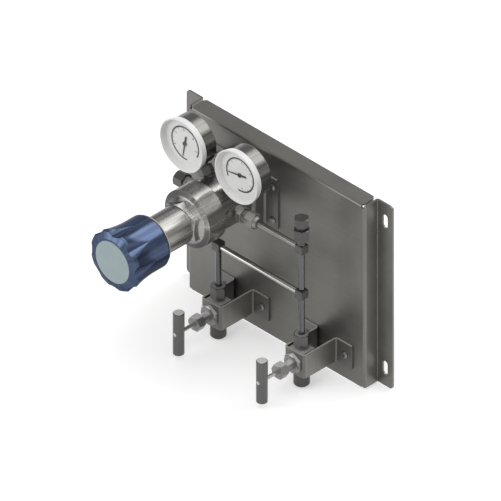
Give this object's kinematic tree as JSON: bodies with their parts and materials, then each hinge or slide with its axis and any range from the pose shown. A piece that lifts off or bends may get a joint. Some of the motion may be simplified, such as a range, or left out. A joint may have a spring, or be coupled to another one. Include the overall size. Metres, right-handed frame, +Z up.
{
  "type": "gas regulator panel",
  "caption": "Wall panel of folded sheet steel that carries a gas pressure regulator with gauges, tube run and needle valves",
  "frame": {"origin": "on the wall plane, the backs of the flanges, midway between the four fixing slots", "axes": "+X to the right seen from the front, +Y into the wall, +Z up"},
  "size_m": [0.275, 0.1971, 0.2375],
  "materials": {
    "sheet_steel": "satin rolled stainless sheet",
    "fastener_steel": "plain steel",
    "turned_steel": "turned stainless steel",
    "gauge_steel": "turned stainless steel",
    "gauge_white": "white enamel",
    "gauge_glass": "clear",
    "pointer_black": "matt black",
    "gauge_socket_steel": "machined",
    "bourdon_brass": "drawn tube",
    "knob_blue": "semi-gloss moulded plastic",
    "knob_cap_grey": "satin insert",
    "wiper_plastic": "natural plastic",
    "spring_steel": "spring steel",
    "seat_plastic": "natural polymer",
    "fitting_steel": "machined stainless steel",
    "tube_steel": "drawn tube",
    "valve_steel": "machined stainless steel",
    "nipple_dark": "dark finish"
  },
  "bodies": {
    "panel": {"back_panel": "sheet_steel", "bonnet": "turned_steel", "bonnet_ring": "turned_steel", "bracket_nuts": "fastener_steel", "bracket_screws": "fastener_steel", "cross_tube": "tube_steel", "diaphragm": "spring_steel", "drop_tubes": "tube_steel", "elbow": "fitting_steel", "inlet_bourdon_tube": "bourdon_brass", "inlet_connector": "fitting_steel", "inlet_gauge_bezel": "gauge_white", "inlet_gauge_case": "gauge_steel", "inlet_gauge_dial": "gauge_white", "inlet_gauge_socket": "gauge_socket_steel", "inlet_gauge_window": "gauge_glass", "left_valve_body": "valve_steel", "left_valve_bracket": "sheet_steel", "lower_tee": "fitting_steel", "outlet_bourdon_tube": "bourdon_brass", "outlet_connector": "fitting_steel", "outlet_gauge_bezel": "gauge_white", "outlet_gauge_case": "gauge_steel", "outlet_gauge_dial": "gauge_white", "outlet_gauge_socket": "gauge_socket_steel", "outlet_gauge_window": "gauge_glass", "outlet_nipples": "nipple_dark", "outlet_nut": "fitting_steel", "outlet_tube": "tube_steel", "packing_nuts": "fitting_steel", "poppet_spring": "spring_steel", "port_cap": "fitting_steel", "port_connector": "fitting_steel", "range_spring": "spring_steel", "regulator_body": "turned_steel", "regulator_bracket": "sheet_steel", "regulator_mount_screws": "fastener_steel", "right_valve_body": "valve_steel", "right_valve_bracket": "sheet_steel", "riser_tube": "tube_steel", "tube_nuts": "fitting_steel", "upper_tee": "fitting_steel", "valve_bonnets": "fitting_steel", "valve_panel_nuts": "fitting_steel", "valve_seat": "seat_plastic"},
    "button": {"spring_button": "turned_steel"},
    "knob": {"pressure_knob": "knob_blue", "knob_cap": "knob_cap_grey", "adjusting_screw": "turned_steel", "knob_wiper_ring": "wiper_plastic"},
    "plate": {"diaphragm_plate": "turned_steel"},
    "poppet": {"poppet": "turned_steel"},
    "left_tip": {"left_stem_tip": "valve_steel"},
    "left_handle": {"left_valve_stem": "valve_steel", "left_handle_bar": "valve_steel"},
    "right_tip": {"right_stem_tip": "valve_steel"},
    "right_handle": {"right_valve_stem": "valve_steel", "right_handle_bar": "valve_steel"},
    "inlet_pointer": {"inlet_gauge_pointer": "pointer_black"},
    "outlet_pointer": {"outlet_gauge_pointer": "pointer_black"}
  },
  "joints": [
    {"name": "button_slide", "type": "slide", "parent": "panel", "child": "button", "axis": [0, 1, 0], "range_m": [0, 0.0063], "deforming": ["range_spring"]},
    {"name": "knob_turn", "type": "hinge", "parent": "button", "child": "knob", "pos_m": [-0.0416, -0.1695, 0.0501], "axis": [0, 1, 0], "range_deg": [0, 1800]},
    {"name": "plate_slide", "type": "slide", "parent": "panel", "child": "plate", "axis": [0, 1, 0], "range_m": [0, 0.0008], "stiffness_N_per_m": 2000, "deforming": ["diaphragm"]},
    {"name": "poppet_slide", "type": "slide", "parent": "panel", "child": "poppet", "axis": [0, 1, 0], "range_m": [0, 0.00081], "stiffness_N_per_m": 500, "deforming": ["poppet_spring"]},
    {"name": "left_tip_slide", "type": "slide", "parent": "panel", "child": "left_tip", "axis": [0, -1, 0], "range_m": [0, 0.00241]},
    {"name": "left_handle_turn", "type": "hinge", "parent": "left_tip", "child": "left_handle", "pos_m": [-0.0427, -0.0795, -0.0766], "axis": [0, -1, 0], "range_deg": [0, 1080]},
    {"name": "right_tip_slide", "type": "slide", "parent": "panel", "child": "right_tip", "axis": [0, -1, 0], "range_m": [0, 0.00241]},
    {"name": "right_handle_turn", "type": "hinge", "parent": "right_tip", "child": "right_handle", "pos_m": [0.0684, -0.0795, -0.0766], "axis": [0, -1, 0], "range_deg": [0, 1080]},
    {"name": "inlet_pointer_turn", "type": "hinge", "parent": "panel", "child": "inlet_pointer", "pos_m": [-0.07819, -0.0645, 0.10236], "axis": [0, 1, 0], "range_deg": [0, 270], "stiffness_Nm_per_rad": 0.0005},
    {"name": "outlet_pointer_turn", "type": "hinge", "parent": "panel", "child": "outlet_pointer", "pos_m": [-0.00501, -0.0645, 0.10236], "axis": [0, 1, 0], "range_deg": [0, 270], "stiffness_Nm_per_rad": 0.0005}
  ],
  "couplings": [
    {"joint": "button_slide", "follows": "knob_turn", "m_per_rad": 0.00019894},
    {"joint": "poppet_slide", "follows": "plate_slide", "ratio": 1},
    {"joint": "left_tip_slide", "follows": "left_handle_turn", "m_per_rad": 0.00012732},
    {"joint": "right_tip_slide", "follows": "right_handle_turn", "m_per_rad": 0.00012732}
  ]
}
